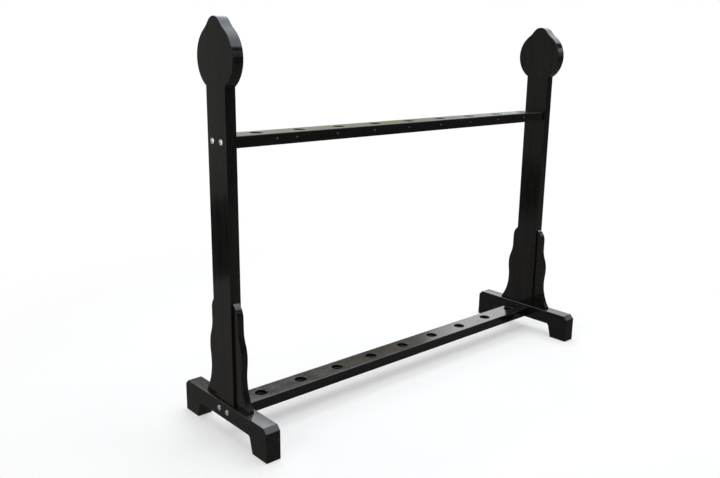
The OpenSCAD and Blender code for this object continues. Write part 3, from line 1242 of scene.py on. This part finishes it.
@dataclass(frozen=True)
class StudioCard:
    """Flat card that only shows in reflections, as one sets up to shape a gloss."""

    HIDDEN_FROM = ("camera", "diffuse", "transmission", "volume_scatter", "shadow")

    name: str
    corners: tuple[Place, Place, Place, Place]
    tone: Colour
    far_tone: Colour

    def build(self) -> None:
        """Makes the card, whose tone runs from its first corner to its second."""
        material, graph = Graph.of_material(self.name)
        start, end = Vector(self.corners[0]), Vector(self.corners[1])
        along = (end - start) / (end - start).length_squared
        run = graph.vector("DOT_PRODUCT", graph.place(), tuple(along))
        share = graph.math("SUBTRACT", run, start.dot(along), clamp=True)
        tone = graph.blend(share, self.tone, self.far_tone)
        graph.node("ShaderNodeOutputMaterial", {"Surface": graph.glow(tone, 1.0)})
        card = flat_piece(self.name, self.corners, material)
        for rays in self.HIDDEN_FROM:
            setattr(card, f"visible_{rays}", False)
        card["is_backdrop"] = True

    @classmethod
    def row(cls, name: str, joints: Sequence[tuple[Place, Place, Colour]]) -> "Cards":
        """Makes a row of cards from the ends of each joint in it and the tone there."""
        return tuple(
            cls(f"{name}_{number}", (start[0], end[0], end[1], start[1]), start[2], end[2])
            for number, (start, end) in enumerate(zip(joints, joints[1:]), start=1)
        )

    @classmethod
    def walls(cls, name: str, low: float, high: float, *posts: tuple[Point, Colour]) -> "Cards":
        """Makes a row of upright cards from the x, y and tone of each joint in it."""
        return cls.row(name, [((*post, low), (*post, high), tone) for post, tone in posts])

    @classmethod
    def sheets(
        cls, name: str, left: float, right: float, height: float, *lines: tuple[float, Colour]
    ) -> "Cards":
        """Makes a row of level cards from the y and tone of each joint in it."""
        return cls.row(name, [((left, y, height), (right, y, height), tone) for y, tone in lines])


Cards = tuple[StudioCard, ...]


OVERHEAD_TINT = (0.96, 0.98, 1.0)
REAR_TINT = (0.92, 0.96, 1.0)
WINDOW_TINT = (0.93, 0.97, 1.0)
WINDOW_AIM = (0.4, 0.0, 0.9)

LAMPS = (
    Softbox("overhead_box", (0.6, 0.0, 2.9), (0.6, 0.0, 0.0), 3.8, 3.0, 2.8, OVERHEAD_TINT, False),
    Softbox("rear_box", (1.9, 3.6, 3.10), (0.0, 0.0, 0.90), 3.4, 1.36, 2.85, REAR_TINT),
    Softbox("window_box", (5.42, 3.44, 2.36), WINDOW_AIM, 2.14, 0.9, 0.8, WINDOW_TINT),
    Softbox("window_core", (5.13, 3.86, 2.36), WINDOW_AIM, 1.2, 0.9, 0.62, WINDOW_TINT),
    Softbox("left_fill", (-3.5, -0.4, 1.5), (-0.6, 0.0, 0.6), 2.4, 2.0, 2.1, mirrored=False),
)

FRONT_CARDS = (
    *StudioCard.walls(
        "front_low", 0.0, 1.1, ((-4.0, -2.6), grey(0.06)), ((8.0, -2.6), grey(0.06))
    ),
    StudioCard(
        "front_middle",
        ((-4.0, -2.6, 1.1), (-4.0, -2.6, 2.1), (8.0, -2.6, 2.1), (8.0, -2.6, 1.1)),
        grey(0.20),
        grey(0.48),
    ),
    *StudioCard.walls(
        "front_high", 2.1, 2.85, ((-4.0, -2.6), grey(0.08)), ((3.0, -2.6), grey(0.08))
    ),
)

LEFT_CARDS = tuple(
    card
    for name, *posts in (
        ("left_card", ((-2.8, 1.6), (0.164, 0.164, 0.150)), ((-2.8, 7.0), (0.31, 0.31, 0.285))),
        ("left_screen", ((-2.8, 0.0), (2.1, 2.1, 2.12)), ((-2.8, 1.6), (2.1, 2.1, 2.12))),
        ("left_dark", ((-2.8, -2.6), (0.05, 0.05, 0.045)), ((-2.8, 0.0), (0.12, 0.12, 0.11))),
    )
    for card in StudioCard.walls(name, 0.0, 2.42, *posts)
)

REAR_CARDS = (
    *StudioCard.walls(
        "rear_low",
        0.0,
        1.9,
        ((-2.8, 7.0), (0.66, 0.66, 0.62)),
        ((3.2, 5.265), (0.635, 0.638, 0.527)),
        ((4.6, 4.86), (0.50, 0.461, 0.302)),
        ((5.4, 4.63), (0.515, 0.52, 0.48)),
        ((5.78, 4.12), (0.66, 0.735, 0.71)),
        ((7.6, 1.0), (0.75, 0.80, 0.80)),
    ),
    *StudioCard.walls(
        "rear_high",
        1.9,
        3.6,
        ((-2.8, 7.0), (0.28, 0.27, 0.25)),
        ((3.2, 5.265), (0.28, 0.27, 0.235)),
        ((4.2, 4.976), (0.30, 0.275, 0.195)),
        ((5.0, 4.745), (0.40, 0.385, 0.33)),
        ((5.5, 4.6), (0.50, 0.50, 0.46)),
    ),
)

SKY_CARDS = (
    *StudioCard.sheets(
        "sky",
        -1.5,
        2.4,
        2.85,
        (-2.35, (2.0, 2.15, 2.4)),
        (-1.1, (1.95, 2.1, 2.35)),
        (-0.1, (2.7, 2.9, 3.2)),
        (1.6, (2.0, 2.15, 2.4)),
        (3.0, (1.55, 1.7, 1.9)),
    ),
    *StudioCard.sheets(
        "sky_right",
        2.4,
        4.6,
        2.85,
        (-0.75, (1.8, 1.95, 2.15)),
        (0.2, (2.1, 2.25, 2.5)),
        (1.6, (1.75, 1.9, 2.1)),
        (3.0, (1.3, 1.4, 1.55)),
    ),
    *StudioCard.sheets(
        "sky_strip", 4.7, 6.6, 2.84, (-2.6, (1.7, 1.8, 1.95)), (-1.5, (1.7, 1.8, 1.95))
    ),
    *StudioCard.sheets("sky_gap", 2.4, 8.0, 2.85, (-2.4, grey(0.08)), (-0.75, grey(0.08))),
    *StudioCard.sheets(
        "sky_left", -1.5, 0.65, 2.84, (1.2, (3.8, 4.0, 4.3)), (2.55, (3.8, 4.0, 4.3))
    ),
)

FLOOR_CARDS = tuple(
    card
    for name, *lines in (
        (
            "floor_card",
            (-6.0, grey(0.06)),
            (-0.4, (0.13, 0.13, 0.125)),
            (1.2, (0.20, 0.185, 0.175)),
        ),
        ("floor_gap", (1.2, grey(0.03)), (2.75, grey(0.03))),
        ("floor_back", (2.75, (0.18, 0.18, 0.165)), (8.0, (0.18, 0.18, 0.165))),
    )
    for card in StudioCard.sheets(name, -6.0, 8.0, 0.0012, *lines)
)


@dataclass
class Studio:
    """Pale floor, white background, soft lamps and cards round the rack."""

    floor_half: float = 30.0
    floor_colour: Colour = grey(0.52)
    floor_mottle: Point = (0.985, 1.0)
    floor_lift: float = 0.48
    floor_near: float = 0.75
    floor_far: float = 1.9
    fill: float = 0.16
    backdrop: float = 1.0
    lamps: tuple[Softbox, ...] = LAMPS
    cards: Cards = (*FRONT_CARDS, *LEFT_CARDS, *REAR_CARDS, *SKY_CARDS, *FLOOR_CARDS)

    def build(self) -> None:
        """Builds the floor, the background, the lamps and the cards."""
        self.build_floor()
        self.build_world()
        for thing in (*self.lamps, *self.cards):
            thing.build()
        bpy.context.scene.view_settings.view_transform = "Standard"
        LOG.info("studio: floor, background, %d lamps, %d cards", len(self.lamps), len(self.cards))

    def build_floor(self) -> None:
        """Makes the pale floor, which takes the rack's shadow and turns white farther out."""
        half = self.floor_half
        corners = ((-half, -half, 0.0), (half, -half, 0.0), (half, half, 0.0), (-half, half, 0.0))
        material, graph = Graph.of_material("pale_floor")
        place = graph.place()
        mottle = graph.spread(graph.noise(place, 3.0), (0.3, 0.7), self.floor_mottle)
        tint = graph.blend(mottle, grey(0.0), self.floor_colour)
        matt = graph.node("ShaderNodeBsdfDiffuse", {"Color": tint}).outputs[0]
        seen = self.seen(graph)
        lift = graph.glow(grey(1.0), graph.math("MULTIPLY", seen, self.floor_lift))
        near = graph.node("ShaderNodeAddShader", {0: matt, 1: lift}).outputs[0]
        white = graph.glow(grey(1.0), self.backdrop)
        reach = graph.vector("LENGTH", place)
        turns_white = (self.floor_near, self.floor_far)
        away = graph.spread(reach, turns_white, interpolation_type="SMOOTHSTEP")
        share = graph.math("MULTIPLY", away, seen)
        floor = graph.node("ShaderNodeMixShader", {0: share, 1: near, 2: white}).outputs[0]
        graph.node("ShaderNodeOutputMaterial", {"Surface": floor})
        made = flat_piece("studio_floor", corners, material)
        made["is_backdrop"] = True

    @staticmethod
    def seen(graph: Graph) -> Socket:
        """Tells the rays that show a thing to the camera, straight, mirrored or through.

        Args:
            graph: builder of the tree that asks.

        Returns:
            The socket of a mask that is 1 for those rays.
        """
        rays = graph.node("ShaderNodeLightPath").outputs
        bent = graph.math("MAXIMUM", rays["Is Glossy Ray"], rays["Is Transmission Ray"])
        return graph.math("MAXIMUM", rays["Is Camera Ray"], bent)

    def build_world(self) -> None:
        """Makes the white background and the softer light that it sheds."""
        world = bpy.data.worlds.new("studio_world")
        world.use_nodes = True
        bpy.context.scene.world = world
        graph = Graph(world.node_tree)
        strength = graph.spread(self.seen(graph), (0.0, 1.0), (self.fill, self.backdrop))
        glow = graph.node("ShaderNodeBackground", {"Color": grey(1.0), "Strength": strength})
        graph.node("ShaderNodeOutputWorld", {"Surface": glow.outputs[0]})


# ---- survey of the points


@dataclass
class Survey:
    """Compares where things show with the photograph's points."""

    RIMS = {
        "first_upper_hole": ("upper_rail", "upper_hole_1"),
        "last_upper_hole": ("upper_rail", "upper_hole_9"),
        "first_socket": ("lower_rail", "lower_socket_1"),
        "eighth_socket": ("lower_rail", "lower_socket_8"),
    }

    camera: PhotoCamera
    whole: Carrier
    errors: dict[str, list[float | None]] = field(default_factory=dict)
    crest: float = 0.6
    rim_radius: float = 18.0 * MILLIMETRE
    rim_points: int = 48
    bolt_face: float = 2.6 * MILLIMETRE
    screw_face: float = 1.5 * MILLIMETRE

    def outline(self, piece: bpy.types.Object) -> list[Point]:
        """Lists the image points of a piece's finished vertices that nothing hides."""
        return self.seen(Carrier([piece]).places)

    def seen(self, places: Sequence[Vector]) -> list[Point]:
        """Lists the image points of the places that nothing hides."""
        return [self.camera.shown(p) for p in places if not self.whole.hides(self.camera, p)]

    def note(self, name: str, x: float | None, y: float | None) -> None:
        """Keeps how far a thing shows from its point.

        Args:
            name: field of the photograph's points.
            x: where it shows across, or None.
            y: where it shows down, or None.
        """
        point = getattr(self.camera.points, name)
        if name.endswith("_x"):
            point = (point, None)
        elif name.endswith("_y"):
            point = (None, point)
        self.errors[name] = [
            None if shown is None or wanted is None else round(shown - wanted, 2)
            for shown, wanted in zip((x, y), point)
        ]

    def middle(self, name: str, places: Sequence[Vector]) -> None:
        """Notes the middle of what shows of a small thing.

        Args:
            name: field of the photograph's points.
            places: its finished places.
        """
        seen = self.seen(places)
        if not seen:
            self.errors[name] = [None, None]
            return
        across, down = zip(*seen)
        self.note(name, (min(across) + max(across)) / 2, (min(down) + max(down)) / 2)

    def edges(self) -> None:
        """Notes the object's four outer edges and the corners that set the camera."""
        shown = [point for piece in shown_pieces() for point in self.outline(piece)]
        across, down = zip(*shown)
        self.note("object_left_x", min(across), None)
        self.note("object_right_x", max(across), None)
        self.note("object_top_y", None, min(down))
        self.note("object_bottom_y", None, max(down))
        for side in Side:
            post = self.outline(node_named(f"{side.value}_post"))
            top = min(y for _, y in post)
            tip = [x for x, y in post if y < top + self.crest]
            self.note(f"{side.value}_tip", (min(tip) + max(tip)) / 2, top)
            foot = self.outline(node_named(f"{side.value}_foot"))
            self.note(f"{side.value}_foot_corner", *max(foot, key=lambda point: point[1]))

    def rims(self) -> None:
        """Notes the middles of the pole holes that have a point."""
        holes = {mount["name"]: Vector(mount["pos_m"]) for mount in frame["record"]["mounts"]}
        for name, (rail, hole) in self.RIMS.items():
            centre, top = holes[hole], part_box(rail)[1][2]
            ring = []
            for i in range(self.rim_points):
                angle = 2 * math.pi * i / self.rim_points
                x = centre.x + self.rim_radius * math.cos(angle)
                ring.append(Vector((x, centre.y + self.rim_radius * math.sin(angle), top)))
            self.middle(name, ring)

    def heads(self) -> None:
        """Notes the middles of the bolt heads and of two screws."""
        for joint in ("upper", "foot"):
            places = Carrier([node_named(f"left_{joint}_bolts")]).places
            outer = min(p.x for p in places)
            face = [p for p in places if p.x < outer + self.bolt_face]
            self.middle(f"{joint}_rear_bolt", [p for p in face if p.y > 0])
            self.middle(f"{joint}_front_bolt", [p for p in face if p.y < 0])
        for name, number in (("second_screw", 2), ("last_screw", 9)):
            places = Carrier([bpy.data.objects[f"rail_screw_{number}"]]).places
            nearest = min(p.y for p in places)
            self.middle(name, [p for p in places if p.y < nearest + self.screw_face])

    def write(self) -> None:
        """Logs the worst of the points' errors, and never stops on one."""
        worst = max(
            (abs(value), name)
            for name, pair in self.errors.items()
            for value in pair
            if value is not None
        )
        LOG.info("points: worst %.1f px at %s", *worst)


def main() -> None:
    """Builds the rack's pieces in order, then the studio, and logs the worst error of the
    photograph's points.
    """
    logging.basicConfig(level=logging.INFO, format="%(name)s: %(message)s")
    camera = PhotoCamera(PhotoPoints())
    camera.build()
    for side in Side:
        UprightFrame(side=side).dress()
    DrilledRails().dress()
    for side in Side:
        Connectors(side).dress()
    bpy.context.view_layer.update()
    screws = RailScrews()
    screws.build(camera, Carrier([node_named("upper_rail")]))
    screws.dress()
    Studio().build()
    bpy.context.view_layer.update()
    survey = Survey(camera, Carrier(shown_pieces()))
    survey.edges()
    survey.rims()
    survey.heads()
    survey.write()


if __name__ == "__main__":
    main()
